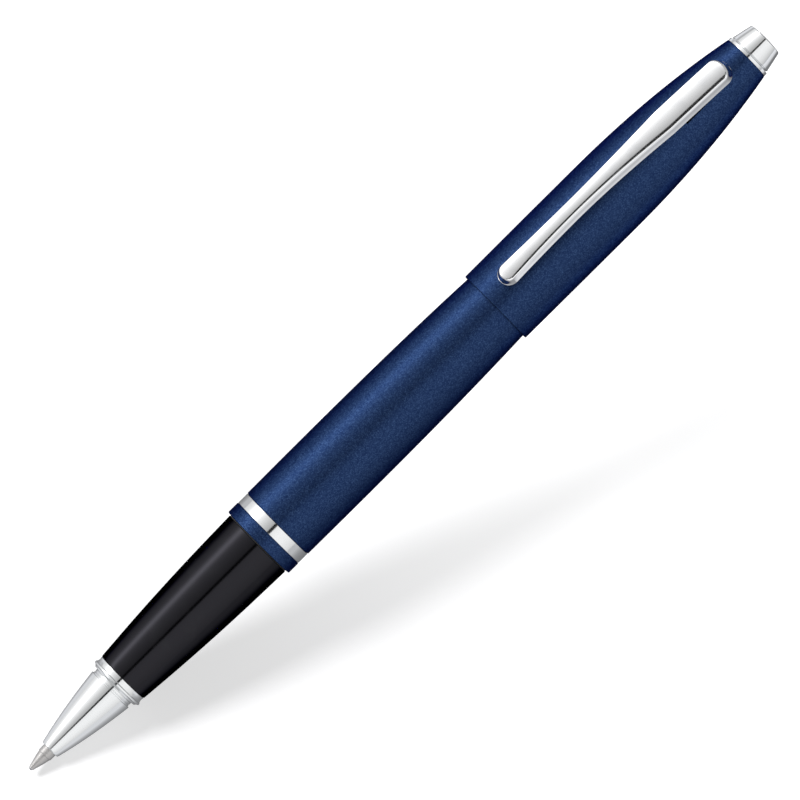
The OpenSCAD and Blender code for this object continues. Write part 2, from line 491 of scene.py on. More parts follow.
class Finish(Enum):
    """The pen's finishes, each with the record's slot that it belongs to."""

    LACQUER = ("blue_lacquer", FlakeLacquer())
    CHROME = ("bright_chrome", BrightChrome())
    CLIP = ("bright_chrome", BrightChrome("clip_chrome", (0.97, 0.975, 0.985), 0.1))
    GRIP = ("black_gloss", GlossGrip())
    BLACK = ("black_plastic", Moulded("black_moulding", (0.012, 0.012, 0.014), 0.42))
    PALE = ("pale_plastic", Moulded("natural_moulding", (0.62, 0.62, 0.58), 0.38))
    RUBBER = ("seal_rubber", Moulded("seal_rubber", (0.01, 0.01, 0.01), 0.62, 0.08, 0.006))
    BALL = ("ball_steel", TurnedMetal("ball_steel", (0.5, 0.5, 0.53), 0.12, 0.03))
    POINT = ("point_steel", TurnedMetal("point_steel", (0.77, 0.725, 0.67), 0.07, 0.05, 0.0001))
    SPRING = ("spring_steel", TurnedMetal("spring_steel", (0.55, 0.55, 0.56), 0.3))
    BRASS = ("bush_brass", TurnedMetal("bush_brass", (0.72, 0.53, 0.22), 0.28))
    FIBRE = ("ink_fibre", SoakedFibre())

    @property
    def slot(self) -> str:
        """The record's material slot."""
        return self.value[0]

    @property
    def material(self) -> Material:
        """The material, built on first use."""
        made = bpy.data.materials.get(self.value[1].name)
        return made or self.value[1].make()


# ------------ outlines


class Knee(NamedTuple):
    """A corner of an outline, rounded by a fillet; outlines may give it as a plain tuple."""

    x: float
    r: float
    fillet: float = 0.0


def through(points: Sequence[Point], count: int) -> list[Knee]:
    """Samples the one polynomial that passes through a few points.

    Args:
        points: (x, radius) pairs.
        count: how many steps.

    Returns:
        The curve's points, ends included.
    """

    def radius(x: float) -> float:
        """The polynomial's value at a place along the pen."""
        return sum(math.prod(((x - b) / (a - b) for b, _ in points if b != a), start=r) for a, r in points)

    return sampled(radius, points[0][0], points[-1][0], count)


def sampled(radius: Callable[[float], float], start: float, end: float, count: int) -> list[Knee]:
    """Samples a curve at even steps.

    Args:
        radius: gives the radius at a place.
        start: first place.
        end: last place.
        count: how many steps.

    Returns:
        The curve's points, ends included.
    """
    stations = [start + (end - start) * i / count for i in range(count + 1)]
    return [Knee(x, radius(x)) for x in stations]


def rounded(outline: Outline, arc: int) -> list[Point]:
    """Turns a closed outline's corners into arcs.

    Args:
        outline: the corners in order, each an x, a radius and, where it is rounded, a fillet.
        arc: steps in each arc.

    Returns:
        The points of the rounded outline, with a point close to each arc's ends to keep the shading crisp.
    """
    points: list[Point] = []
    knees = [Knee(*corner) for corner in outline]
    for i, knee in enumerate(knees):
        if knee.fillet <= 0:
            points.append((knee.x, knee.r))
            continue
        here = Vector(knee[:2])
        back = Vector(knees[i - 1][:2]) - here
        ahead = Vector(knees[(i + 1) % len(knees)][:2]) - here
        half = back.angle(ahead) / 2
        reach = min(knee.fillet / math.tan(half), back.length * FILLET_SHARE, ahead.length * FILLET_SHARE)
        start, end = here + back.normalized() * reach, here + ahead.normalized() * reach
        lead_in = here + back.normalized() * min(reach * LEAD, back.length * LEAD_SHARE)
        lead_out = here + ahead.normalized() * min(reach * LEAD, ahead.length * LEAD_SHARE)
        points.append(tuple(lead_in))
        for k in range(arc + 1):
            share = k / arc
            low, high = start.lerp(here, share), here.lerp(end, share)
            points.append(tuple(low.lerp(high, share)))
        points.append(tuple(lead_out))
    return points


# ------------ modelling


class Bench:
    """One new mesh, worked on in edit mode."""

    def __init__(self, name: str) -> None:
        """Starts the mesh as a single point at the origin.

        Args:
            name: the piece's name.
        """
        if bpy.context.mode != "OBJECT":
            bpy.ops.object.mode_set(mode="OBJECT")
        bpy.ops.object.select_all(action="DESELECT")
        bpy.ops.mesh.primitive_plane_add(size=MM, location=(0.0, 0.0, 0.0))
        self.obj = bpy.context.object
        self.obj.name = self.obj.data.name = name
        bpy.ops.object.mode_set(mode="EDIT")
        bpy.ops.mesh.select_mode(type="VERT")
        self.select_all()
        bpy.ops.mesh.merge(type="CENTER")
        self.pen = Vector((0.0, 0.0, 0.0))

    @staticmethod
    def select_all() -> None:
        """Selects the whole mesh."""
        bpy.ops.mesh.select_all(action="SELECT")

    def pick(self, test: Callable[[Vector, Vector], bool]) -> None:
        """Selects faces by place and normal.

        Args:
            test: says whether a face is wanted, from its centre in millimetres and its normal.
        """
        bpy.ops.mesh.select_mode(type="FACE")
        bpy.ops.mesh.select_all(action="DESELECT")
        mesh = bmesh.from_edit_mesh(self.obj.data)
        for face in mesh.faces:
            if test(face.calc_center_median() / MM, face.normal):
                face.select_set(True)
        mesh.select_flush_mode()
        bmesh.update_edit_mesh(self.obj.data)

    def draw(self, points: Sequence[Sequence[float]], closed: bool = True) -> Bench:
        """Draws a line through points by extruding one vertex.

        Args:
            points: places in millimetres.
            closed: whether the line returns to its first point.

        Returns:
            The bench.
        """
        path = [Vector(p) * MM for p in points]
        bpy.ops.transform.translate(value=path[0] - self.pen)
        for here, there in zip(path, path[1:] + path[:1] if closed else path[1:]):
            bpy.ops.mesh.extrude_vertices_move(TRANSFORM_OT_translate={"value": there - here})
        self.select_all()
        bpy.ops.mesh.remove_doubles(threshold=MERGE)
        return self

    def turn(self, outline: Outline, steps: int = TURN_STEPS, arc: int = 4) -> Bench:
        """Turns a closed outline about the pen's axis.

        Args:
            outline: corners of the outline.
            steps: how many steps make the full turn.
            arc: steps in each fillet.

        Returns:
            The bench.
        """
        self.draw([(x, 0.0, r) for x, r in rounded(outline, arc)])
        bpy.ops.mesh.spin(steps=steps, angle=math.tau, center=(0.0, 0.0, 0.0), axis=AXIS)
        return self.tidy()

    def settle(self, old: Sequence[Point], new: Sequence[Point]) -> None:
        """Moves the selected section's points across the pen.

        Args:
            old: (y, z) of each point now.
            new: (y, z) of each point afterwards.
        """
        mesh = bmesh.from_edit_mesh(self.obj.data)
        for vertex in [v for v in mesh.verts if v.select]:
            y, z = vertex.co.y / MM, vertex.co.z / MM
            index = min(range(len(old)), key=lambda i: (old[i][0] - y) ** 2 + (old[i][1] - z) ** 2)
            vertex.co.y, vertex.co.z = new[index][0] * MM, new[index][1] * MM
        bmesh.update_edit_mesh(self.obj.data)

    def tidy(self) -> Bench:
        """Merges doubles and points every face outwards.

        Returns:
            The bench.
        """
        self.select_all()
        bpy.ops.mesh.remove_doubles(threshold=MERGE)
        bpy.ops.mesh.normals_make_consistent(inside=False)
        return self

    def coil(self, section: Sequence[Point], lead: float, turns: int, steps: int = 48) -> Bench:
        """Winds a closed section into a helix about the pen's axis.

        Args:
            section: (x, radius) points of the section.
            lead: advance of one turn in millimetres.
            turns: how many turns.
            steps: steps in a turn.

        Returns:
            The bench, with both ends closed.
        """
        self.draw([(x, 0.0, r) for x, r in section])
        bpy.ops.object.mode_set(mode="OBJECT")
        bpy.ops.object.modifier_add(type="SCREW")
        screw = self.obj.modifiers[-1]
        screw.axis = "X"
        screw.screw_offset = lead * MM
        screw.iterations = turns
        screw.steps = screw.render_steps = steps
        screw.use_merge_vertices = False
        bpy.ops.object.modifier_apply(modifier=screw.name)
        bpy.ops.object.mode_set(mode="EDIT")
        self.select_all()
        bpy.ops.mesh.fill_holes(sides=0)
        return self.tidy()

    def finish(self, angle_deg: float = SMOOTH_DEG) -> Piece:
        """Leaves edit mode and shades the mesh.

        Args:
            angle_deg: edges sharper than this stay crisp.

        Returns:
            The finished object.
        """
        bpy.ops.object.mode_set(mode="OBJECT")
        bpy.ops.object.shade_smooth_by_angle(angle=math.radians(angle_deg))
        return self.obj


def join(into: Piece, *others: Piece) -> Piece:
    """Joins finished meshes into one piece.

    Args:
        into: the mesh that takes the others in.
        others: the other meshes.

    Returns:
        The joined piece.
    """
    bpy.ops.object.select_all(action="DESELECT")
    for obj in (into, *others):
        obj.select_set(True)
    bpy.context.view_layer.objects.active = into
    bpy.ops.object.join()
    return into


def dress(obj: Piece, finish: Finish, body: str, stands_for: str) -> None:
    """Gives a new piece its finish and its place in the part.

    Args:
        obj: the piece.
        finish: its finish.
        body: the body that it moves with.
        stands_for: the CAD node that it replaces.
    """
    obj.data.materials.clear()
    obj.data.materials.append(finish.material)
    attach(obj, body)
    finish.slot
    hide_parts(stands_for)
    LOG.info("%s: %d faces, %s", obj.name, len(obj.data.polygons), finish.name.lower())


def coat(node: str, finish: Finish) -> None:
    """Gives a carried-over CAD node its finish.

    Args:
        node: the node's name.
        finish: its finish.
    """
    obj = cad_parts[node]
    for slot in obj.material_slots:
        slot.material = finish.material
    LOG.info("%s: CAD node, %s", node, finish.name.lower())


# ------------ the pen


@dataclass
class Refill:
    """The refill: ball, point and the ink tube behind them."""

    shank_r: float = 1.155
    shank_x: float = 3.05
    bore_r: float = 0.6
    hidden: Sequence[tuple[str, Finish]] = (
        ("writing_ball", Finish.BALL),
        ("refill_nose", Finish.PALE),
        ("ink_feed", Finish.FIBRE),
        ("refill_tube", Finish.PALE),
        ("ink_reservoir", Finish.FIBRE),
        ("refill_plug", Finish.BLACK),
    )

    def build(self) -> None:
        """Builds the point and coats the rest."""
        outline = [
            (0.3, 0.372), (0.3, 0.4, 0.02), (0.62, 0.47, 0.05), (1.05, 0.6, 0.15), (1.9, 0.83, 0.3),
            (2.94, 1.06, 0.03), (3.0, 1.1, 0.02), (self.shank_x, self.shank_r, 0.03),
            (12.0, self.shank_r, 0.05), (12.0, self.bore_r), (2.6, self.bore_r), (2.4, 0.2), (0.62, 0.2),
            (0.55, 0.31), (0.42, 0.363),
        ]
        dress(Bench("point_turned").turn(outline, 72).finish(), Finish.POINT, "refill", "refill_point")
        for node, finish in self.hidden:
            coat(node, finish)


@dataclass
class Section:
    """The front half: nose cone, flared ring, grip and the threaded core behind them."""

    nose: Sequence[Point] = ((4.22, 1.55), (7.4, 2.28), (11.3, 3.0), (16.35, 3.7))
    grip: Sequence[Point] = ((19.1, 4.315), (26.7, 4.9), (34.4, 5.33), (40.1, 5.54), (46.2, 5.695))
    ring_x: float = 17.25
    grip_x: float = 18.95
    grip_end_x: float = 46.35
    nipple_r: float = 4.72
    pitch: float = 0.75

    def build(self) -> None:
        """Builds every piece of the section."""
        self.nose_cone()
        self.front_ring()
        self.grip_sleeve()
        self.core()
        self.seal()

    def nose_cone(self) -> None:
        """Cone with its stepped neck, spigot and stepped bore."""
        outline = [
            (4.1, 1.2), (4.1, 1.46, 0.06), *through(self.nose, 26), (16.42, 3.69, 0.03),
            (16.46, 3.48, 0.03), (16.66, 3.48, 0.02), (16.7, 3.4, 0.02), (16.78, 3.4, 0.02),
            (16.82, 3.48, 0.02), (17.14, 3.48, 0.06), (17.16, 3.3), (25.0, 3.3, 0.1), (25.0, 2.45, 0.1),
            (11.0, 2.45), (11.0, 1.75), (9.5, 1.75), (7.0, 1.2),
        ]
        dress(Bench("nose_cone_turned").turn(outline).finish(), Finish.CHROME, "section", "nose_cone")

    def front_ring(self) -> None:
        """Flared ring: a rounded bead, a hollow neck and a narrow land against the grip."""
        x = self.ring_x
        outline = [
            (x, 3.33), (x, 3.95, 0.05), (x + 0.27, 4.17, 0.14), (x + 0.4, 4.45, 0.09),
            (x + 0.66, 4.45, 0.1),
            *through([(x + 0.74, 4.34), (x + 1.0, 4.235), (x + 1.3, 4.2), (x + 1.6, 4.24)], 10),
            (self.grip_x - 0.06, 4.245, 0.05), (self.grip_x - 0.03, 3.33),
        ]
        ring = Bench("front_ring_turned").turn(outline, arc=6).finish()
        dress(ring, Finish.CHROME, "section", "front_ring")

    def grip_sleeve(self) -> None:
        """Bowed black grip over the core."""
        outline = [
            (self.grip_x, 3.72), (self.grip_x, 4.25, 0.06), *through(self.grip, 40),
            (self.grip_end_x, 5.7, 0.08), (self.grip_end_x, 4.32), (30.0, 4.32), (30.0, 3.72),
        ]
        dress(Bench("grip_moulded").turn(outline).finish(), Finish.GRIP, "section", "grip_sleeve")

    def core(self) -> None:
        """Core tube and nipple with its helical thread."""
        outline = [
            (self.grip_x, 3.32), (self.grip_x, 3.7), (30.02, 3.7), (30.02, 4.3), (self.grip_end_x, 4.3),
            (self.grip_end_x, self.nipple_r), (50.9, self.nipple_r, 0.1),
            (51.0, self.nipple_r - 0.12, 0.1), (58.4, self.nipple_r - 0.12, 0.1),
            (58.5, self.nipple_r, 0.1), (59.0, self.nipple_r, 0.15), (59.4, 4.4, 0.1), (59.4, 3.12, 0.1),
            (25.1, 3.12), (25.1, 3.32),
        ]
        core = Bench("section_core_moulded").turn(outline, 96).finish()
        root, crest = self.nipple_r - 0.2, self.nipple_r + 0.16
        section = [(51.2, root), (51.32, crest - 0.03), (51.38, crest), (51.48, crest), (51.54, crest - 0.03),
                   (51.66, root)]
        thread = Bench("nipple_thread").coil(section, self.pitch, 9, 96).finish()
        dress(join(core, thread), Finish.BLACK, "section", "section_core")

    def seal(self) -> None:
        """Thin washer between the grip and the barrel's mouth."""
        outline = [
            (self.grip_end_x + 0.02, self.nipple_r + 0.04, 0.04), (self.grip_end_x + 0.02, 5.6, 0.07),
            (46.53, 5.6, 0.07), (46.53, self.nipple_r + 0.04, 0.04),
        ]
        dress(Bench("joint_washer").turn(outline, 96).finish(), Finish.RUBBER, "seal", "joint_seal")


@dataclass
class Barrel:
    """The rear half: mouth ring, bright band, lacquered tube, its plug and the spring."""

    body: Sequence[Point] = ((50.6, 6.216), (61.4, 6.252), (72.3, 6.22), (83.2, 6.072), (94.05, 5.75))
    end_x: float = 128.0
    end_r: float = 4.47
    wall: float = 0.45
    bore_r: float = 5.72
    spigot_r: float = 5.38
    seat_x: float = 122.5

    def build(self) -> None:
        """Builds every piece of the barrel."""
        self.rings()
        self.tube()
        self.bush()
        self.tail()
        self.spring()

    def rings(self) -> None:
        """Blue mouth ring and bright band, each with softly broken edges."""
        blue = [
            (46.55, self.spigot_r + 0.02), (46.55, 6.21, 0.16), (48.5, 6.21, 0.06), (48.51, 6.08, 0.01),
            (48.585, 6.08), (48.585, self.spigot_r + 0.02),
        ]
        bright = [
            (48.6, self.spigot_r + 0.02), (48.6, 6.16, 0.07), (50.42, 6.16, 0.07),
            (50.42, self.spigot_r + 0.02),
        ]
        dress(Bench("mouth_ring_lacquered").turn(blue).finish(), Finish.LACQUER, "barrel", "mouth_ring")
        dress(Bench("band_plated").turn(bright).finish(), Finish.CHROME, "barrel", "barrel_band")

    def tube(self) -> None:
        """Lacquered tube that swells slightly and tapers into the cap."""
        tail_x, tail_r = self.body[-1]
        slope = (self.end_r - tail_r) / (self.end_x - tail_x)

        def tail(x: float) -> float:
            """Radius of the straight taper inside the cap."""
            return tail_r + slope * (x - tail_x)

        places = (126.9, 118.0, 108.0, 98.0, 90.0, 84.0)
        inner = [(x, min(self.bore_r, tail(x) - self.wall)) for x in places]
        outline = [
            (50.5, self.bore_r), (50.435, self.bore_r), (50.435, 6.02), (50.49, 6.02, 0.01),
            (50.5, 6.19, 0.06), *through(self.body, 44), *sampled(tail, 96.0, 127.2, 12),
            (self.end_x, self.end_r, 0.45), (self.end_x, 3.3, 0.05), (127.2, 3.3), *inner,
        ]
        dress(Bench("barrel_lacquered").turn(outline).finish(), Finish.LACQUER, "barrel", "barrel_shell")

    def bush(self) -> None:
        """Brass bush with its internal thread."""
        outline = [
            (46.65, 5.12, 0.08), (46.65, self.spigot_r, 0.05), (50.5, self.spigot_r), (50.5, 5.7),
            (62.0, 5.7, 0.1), (62.0, 5.12, 0.1),
        ]
        bush = Bench("bush_turned").turn(outline, 96).finish()
        section = [(51.58, 5.2), (51.7, 4.97), (51.8, 4.95), (51.9, 4.97), (52.02, 5.2)]
        thread = Bench("bush_thread").coil(section, 0.75, 9, 96).finish()
        dress(join(bush, thread), Finish.BRASS, "barrel", "thread_bush")

    def tail(self) -> None:
        """Plug that closes the tail, and the soft ring that the cap grips."""
        plug = [
            (119.5, 0.0), (119.5, 1.85, 0.3), (self.seat_x, 1.85, 0.1), (self.seat_x, 4.15, 0.1),
            (126.8, 3.98), (126.8, 3.28), (128.02, 3.28), (128.02, 2.9), (129.0, 2.9), (129.0, 3.6, 0.08),
            (129.3, 3.6, 0.12), (129.3, 1.2, 0.1), (129.12, 1.0, 0.1), (129.12, 0.0),
        ]
        ring = [(128.06, 2.94, 0.1), (128.06, 4.12, 0.3), (128.94, 4.12, 0.3), (128.94, 2.94, 0.1)]
        dress(Bench("tail_plug").turn(plug, 96).finish(), Finish.BLACK, "barrel", "barrel_end_plug")
        dress(Bench("grip_ring").turn(ring, 96).finish(), Finish.RUBBER, "posting_ring", "posting_ring")

    def spring(self) -> None:
        """Coil spring that the refill presses on, with a mesh of its own."""
        wire, coil, start, turns = 0.22, 2.3, 111.05, 7
        lead = (self.seat_x - start - 2 * wire) / turns
        section = [
            (start + wire + wire * math.sin(a), coil + wire * math.cos(a))
            for a in (math.tau * k / 12 for k in range(12))
        ]
        spring = Bench("spring_wound").coil(section, lead, turns, 32).finish()
        dress(spring, Finish.SPRING, "barrel", "refill_spring")
        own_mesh(spring)


@dataclass
class Cap:
    """The cap: lacquered shell, liner, finial and its ring."""

    lip_x: float = 94.8
    end_x: float = 145.9
    full_r: float = 6.25
    end_r: float = 3.74
    shoulder_x: float = 116.5
    power: float = 2.18
    mouth_x: float = 109.5
    lip_drop: float = 0.033
    wall: float = 0.4
    slot_x: Point = (132.9, 140.1)
    slot_half_deg: float = 22.5
    hidden: Sequence[tuple[str, Finish]] = (("inner_cap", Finish.BLACK), ("finial_nut", Finish.BRASS))

    def outer(self, x: float) -> float:
        """Radius of the shell's outside.

        Args:
            x: place along the pen.

        Returns:
            The radius there: full in the middle, a little less at the lip, and falling to the finial.
        """
        drop = 0.0
        if x < self.mouth_x:
            drop = self.lip_drop * ((self.mouth_x - x) / (self.mouth_x - self.lip_x)) ** 2
        if x > self.shoulder_x:
            share = (x - self.shoulder_x) / (self.end_x - self.shoulder_x)
            drop += (self.full_r - self.end_r) * share**self.power
        return self.full_r - drop

    def build(self) -> None:
        """Builds every piece of the cap."""
        self.shell()
        self.liner()
        self.finial()
        for node, finish in self.hidden:
            coat(node, finish)

    def shell(self) -> None:
        """Shell with the slot that the clip's foot goes through."""
        front, rear = self.slot_x
        stations = [x for x in (97.0 + 1.2 * i for i in range(30)) if x < front - 0.4]
        stations += [front + (rear - front) * i / 6 for i in range(7)]
        stations += [141.0, 142.0, 143.0, 144.0]
        outline = [
            (self.lip_x, self.outer(self.lip_x) - self.wall + 0.02, 0.08),
            (self.lip_x, self.outer(self.lip_x), 0.14), *[(x, self.outer(x)) for x in [*stations, 144.8]],
            (self.end_x, self.end_r, 0.06), (self.end_x, 1.5), (144.7, 1.5),
            (144.7, self.outer(144.7) - self.wall),
            *[(x, self.outer(x) - self.wall) for x in reversed(stations)],
        ]
        bench = Bench("cap_lacquered").turn(outline)
        half = math.radians(self.slot_half_deg)

        def in_slot(centre: Vector, _normal: Vector) -> bool:
            """Whether a face lies over the slot."""
            return front < centre.x < rear and abs(math.atan2(centre.y, centre.z)) < half

        bench.pick(in_slot)
        bpy.ops.mesh.delete(type="FACE")
        bpy.ops.mesh.select_mode(type="EDGE")
        bpy.ops.mesh.select_all(action="DESELECT")
        bpy.ops.mesh.select_non_manifold()
        bpy.ops.mesh.bridge_edge_loops()
        dress(bench.tidy().finish(), Finish.LACQUER, "cap", "cap_shell")

    def liner(self) -> None:
        """Plastic sleeve that grips the barrel."""
        places = (103.6, self.mouth_x, self.shoulder_x, 120.0, 123.0, 126.0)
        outside = [(x, self.outer(x) - self.wall - 0.02) for x in places]
        outline = [
            (103.0, 5.53, 0.06), (103.0, 5.8, 0.06), *outside,
            (129.2, self.outer(129.2) - self.wall - 0.02, 0.05), (129.2, 4.17), (128.5, 4.17),
            (127.6, 4.55), (124.0, 4.72),
        ]
        dress(Bench("liner_moulded").turn(outline, 96).finish(), Finish.BLACK, "cap", "cap_liner")

    def finial(self) -> None:
        """Bright ring and the truncated cone above it."""
        ring = [(145.92, 1.52), (145.92, 3.7, 0.08), (146.48, 3.7, 0.14), (146.48, 1.52)]
        foot = 146.52
        cone = [
            (142.4, 0.0), (142.4, 1.48, 0.1), (foot, 1.48), (foot, 3.3, 0.05), (foot + 0.14, 3.34, 0.04),
            (foot + 0.2, 3.5, 0.07), *through([(147.0, 3.41), (148.3, 3.135), (149.5, 2.87)], 8),
            (149.78, 2.8, 0.14),
            *[(150.0 - 0.16 * (r / 2.6) ** 2, r) for r in (2.5, 2.1, 1.7, 1.3, 0.9, 0.45)], (150.0, 0.0),
        ]
        dress(Bench("finial_ring_turned").turn(ring).finish(), Finish.CHROME, "cap", "finial_ring")
        dress(Bench("finial_turned").turn(cone).finish(), Finish.CHROME, "cap", "finial")


@dataclass
class Clip:
    """The spring clip: a domed blade with drafted flanks, a contact pad and a foot."""

    start_x: float = 97.8
    end_x: float = 143.1
    base_z: float = 8.09
    fall: float = 3.05
    fall_x: float = 110.0
    fall_length: float = 31.2
    fall_power: float = 1.85
    thick: float = 1.795
    thicker: float = 0.2
    thicker_length: float = 31.0
    thinner: float = 0.35
    thinner_length: float = 12.0
    waist_x: float = 113.0
    waist_w: float = 1.47
    broad_x: float = 130.5
    broad_w: float = 2.15
    broad_power: float = 1.7
    flare: float = 0.21
    flare_length: float = 13.0
    foot_x: Point = (133.2, 139.8)
    foot_w: float = 1.2
    foot_z: float = 3.75
    draft: float = 0.37
    edge_soft: float = 0.22
    end_draft: float = 0.5
    dome: float = 0.215
    front_round: float = 1.66
    rear_round: float = 1.8
    pad_x: Point = (99.9, 103.0)
    pad_w: float = 0.95
    pad_z: float = 6.3
    pad_taper: float = 0.62
    flank_steps: Sequence[float] = (0.3, 0.55, 0.75, 0.88, 0.97, 1.06, 1.16, 1.28, 1.45)
    top_steps: Sequence[float] = (0.86, 0.7, 0.52, 0.35, 0.17, 0.0)
    end_steps: Sequence[float] = (0.015, 0.05, 0.1, 0.16, 0.23, 0.3, 0.36, 0.42, 0.5, 0.62, 0.78, 1.0, 1.25)

    def base(self, x: float) -> float:
        """Height of the underside above the pen's axis."""
        share = max(0.0, x - self.fall_x) / self.fall_length
        return self.base_z - self.fall * share**self.fall_power

    def height(self, x: float) -> float:
        """Thickness from underside to crown.

        Args:
            x: place along the pen.

        Returns:
            The thickness there: it grows towards the foot and shrinks towards the free end.
        """
        if x > self.fall_x:
            return self.thick + self.thicker * (x - self.fall_x) / self.thicker_length
        return self.thick - self.thinner * ((self.fall_x - x) / self.thinner_length) ** 2

    def half_width(self, x: float) -> float:
        """Half width of the underside, before the ends are rounded.

        Args:
            x: place along the pen.

        Returns:
            The half width there: least at the waist, a little more at the free end, most at the foot.
        """
        if x < self.waist_x:
            return self.waist_w + self.flare * ((self.waist_x - x) / self.flare_length) ** 2
        share = min(1.0, (x - self.waist_x) / (self.broad_x - self.waist_x))
        return self.waist_w + (self.broad_w - self.waist_w) * share**self.broad_power

    def outline(self, x: float) -> tuple[float, float]:
        """Shape of the blade seen from above.

        Args:
            x: place along the pen.

        Returns:
            Half width there, and how far the place lies into a rounded end, scaled to that end's width.
        """
        front, rear = self.start_x + self.front_round, self.end_x - self.rear_round
        if x < front:
            full = self.half_width(front)
            into = (front - x) * full / self.front_round
        elif x > rear:
            full = self.half_width(rear)
            into = (x - rear) * full / self.rear_round
        else:
            return self.half_width(x), 0.0
        return math.sqrt(max(full**2 - into**2, 0.0)), into

    def surface(self, x: float, y: float) -> float:
        """Height of the blade's upper side.

        Args:
            x: place along the pen.
            y: place across it.

        Returns:
            Height above the underside: a drafted flank, a rounded edge and a domed top.
        """
        half, into = self.outline(x)
        full = math.hypot(half, into)
        off_centre = math.hypot(y, into)
        draft = self.draft + self.end_draft * (into / full) ** 2
        share = (full - off_centre) / draft
        soft = self.edge_soft
        if share > 1.0 + soft:
            rise = 1.0
        elif share > 1.0 - soft:
            rise = share - (share - 1.0 + soft) ** 2 / (4 * soft)
        else:
            rise = share
        return self.height(x) * (1.0 - self.dome * (off_centre / full) ** 2) * rise

    def ring(self, x: float) -> list[Point]:
        """One closed section.

        Args:
            x: place along the pen.

        Returns:
            Its (y, z) points, from the middle of the underside round both flanks.
        """
        half, base = self.outline(x)[0], self.base(x)
        flank = min(self.draft, half * 0.6)
        inset = [half - flank * f for f in self.flank_steps]
        inset += [inset[-1] * q for q in self.top_steps]
        side = [(half * 0.558, base), (half * 0.96, base), (half, base + 0.05)]
        side += [(y, base + max(self.surface(x, y), 0.06)) for y in inset]
        return side + [(-y, z) for y, z in reversed(side[:-1])]

    def stations(self) -> list[float]:
        """Places of every section along the blade.

        Returns:
            The places in order, close together at both rounded ends.
        """
        last = self.end_x - self.rear_round
        middle = {self.start_x + self.front_round + 1.2 * i for i in range(35)} | {*self.foot_x, last}
        return [
            *(self.start_x + d for d in self.end_steps),
            *sorted(x for x in middle if x <= last),
            *(self.end_x - d for d in (1.5, *reversed(self.end_steps))),
        ]

    def build(self) -> None:
        """Lofts the blade, then draws out the pad and the foot."""
        places = self.stations()
        here, ring = places[0], self.ring(places[0])
        bench = Bench("clip_blade")
        bench.draw([(here, y, z) for y, z in ring])
        bpy.ops.mesh.edge_face_add()
        for there in places[1:]:
            step = ((there - here) * MM, 0.0, 0.0)
            bpy.ops.mesh.extrude_region_move(TRANSFORM_OT_translate={"value": step})
            new_ring = self.ring(there)
            bench.settle(ring, new_ring)
            here, ring = there, new_ring
        bench.tidy()
        self.draw_down(bench, self.pad_x, self.pad_w, self.pad_z, self.pad_taper)
        self.draw_down(bench, self.foot_x, self.foot_w + 0.02, self.foot_z, 1.0)
        dress(bench.tidy().finish(50.0), Finish.CLIP, "clip", "clip")

    @staticmethod
    def draw_down(bench: Bench, span: Point, half: float, level: float, taper: float) -> None:
        """Draws part of the underside down to a level.

        Args:
            bench: the clip's bench.
            span: where the part starts and ends along the pen.
            half: its half width.
            level: height of its new face.
            taper: scale of the new face against the old.
        """

        def beneath(centre: Vector, normal: Vector) -> bool:
            """Whether a face belongs to that part of the underside."""
            return normal.z < -0.7 and span[0] - 0.01 < centre.x < span[1] + 0.01 and abs(centre.y) < half

        bench.pick(beneath)
        middle = Vector((sum(span) / 2, 0.0, level)) * MM
        bpy.ops.mesh.extrude_region_move(TRANSFORM_OT_translate={"value": (0.0, 0.0, -0.2 * MM)})
        bpy.ops.transform.resize(value=(taper, taper, 0.0), center_override=middle)


# ------------ studio


